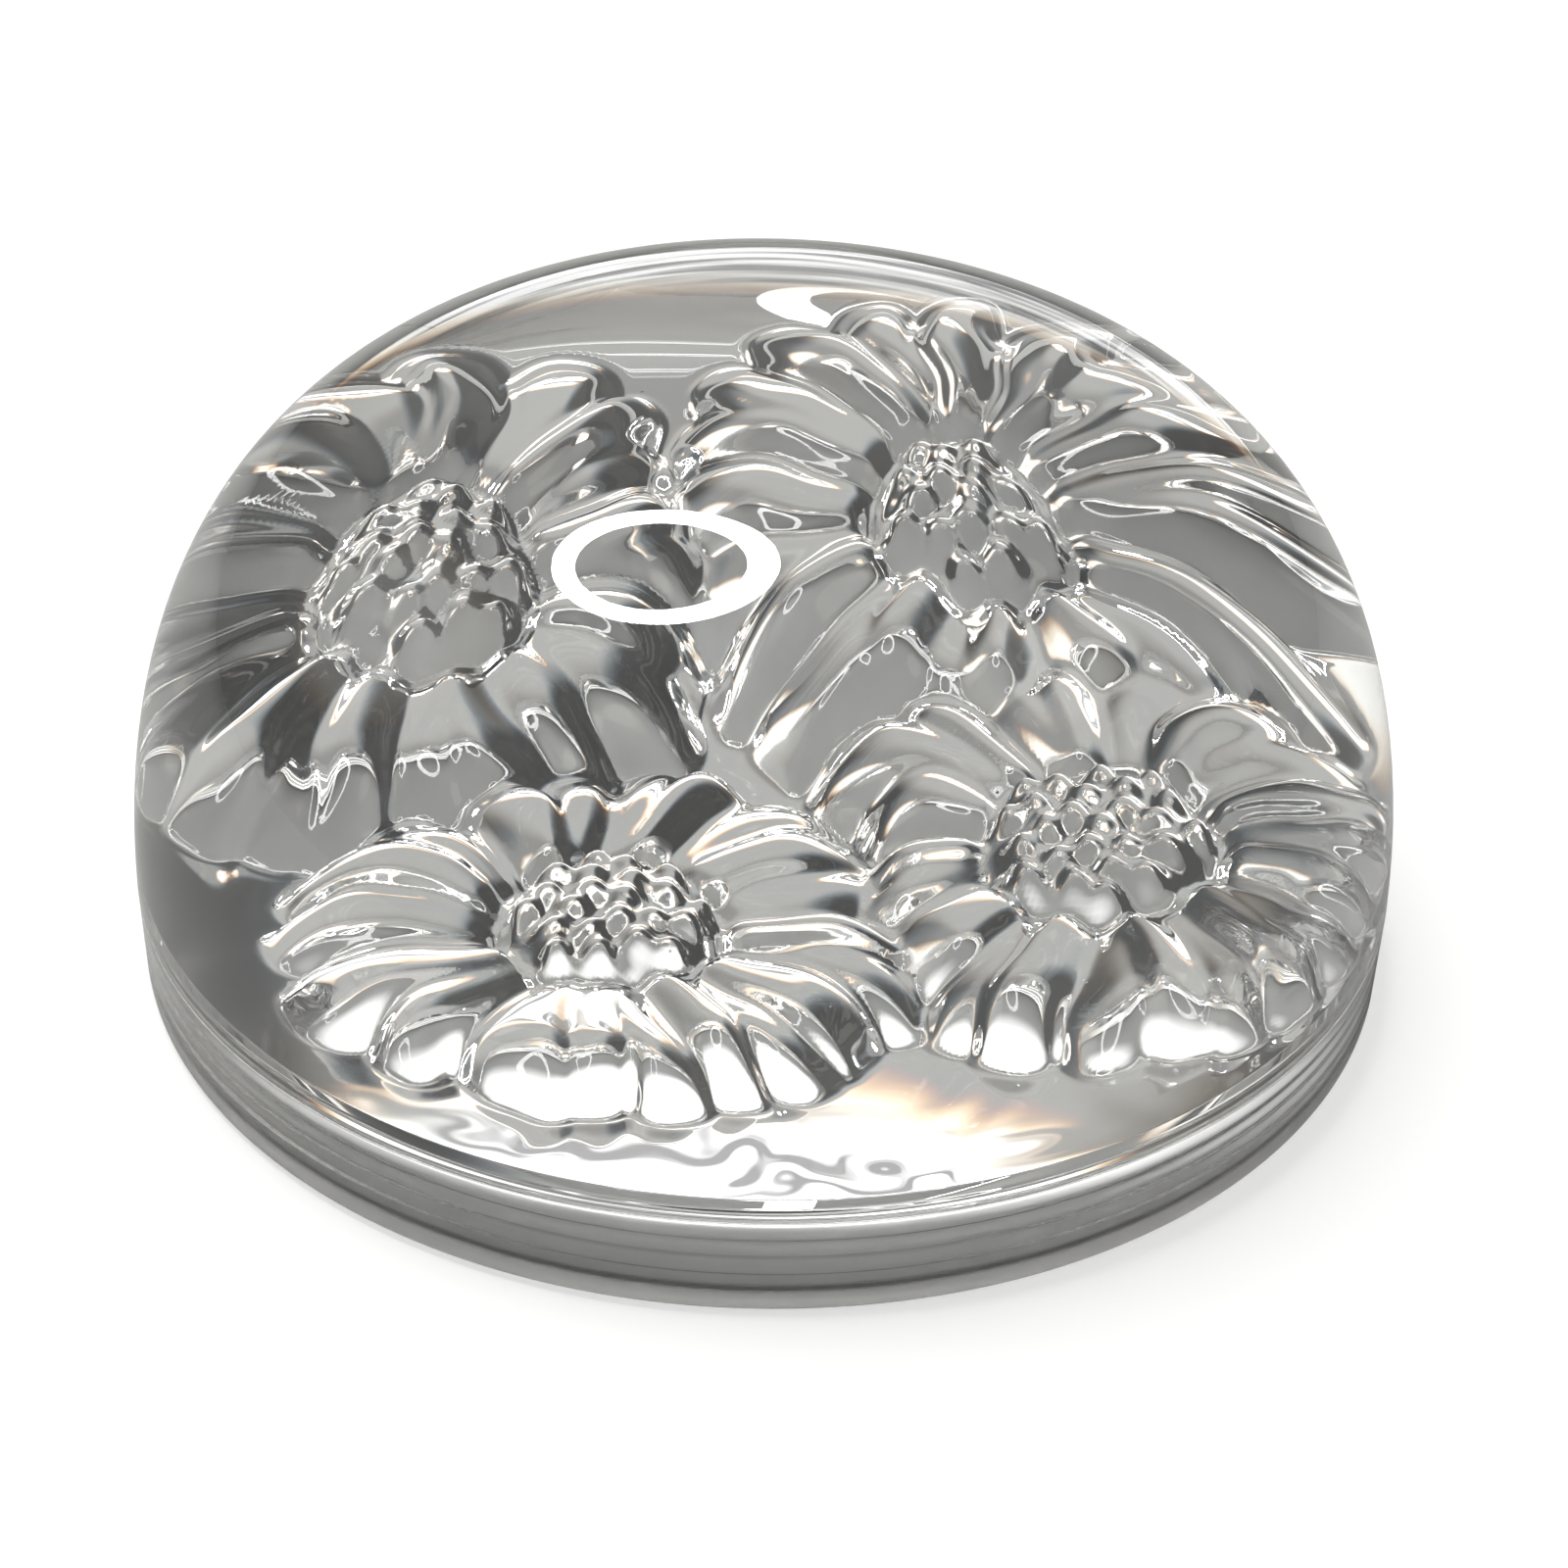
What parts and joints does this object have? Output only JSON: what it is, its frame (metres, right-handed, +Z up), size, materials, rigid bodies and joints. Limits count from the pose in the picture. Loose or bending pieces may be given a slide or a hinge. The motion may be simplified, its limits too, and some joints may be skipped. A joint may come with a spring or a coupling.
{
  "type": "paperweight",
  "caption": "Clear pressed-glass dome paperweight with daisies sunk into its recessed underside and a flat foot ring to rest on.",
  "frame": {"origin": "middle of the resting plane, under the crown of the dome", "axes": "+Z up through the crown; -Y towards the side that is seen first; +X to the right of it"},
  "size_m": [0.09, 0.09, 0.0456],
  "materials": {
    "crystal": "fire-polished, with a ground and polished foot"
  },
  "bodies": {
    "root": {"crystal_body": "crystal"}
  },
  "joints": []
}
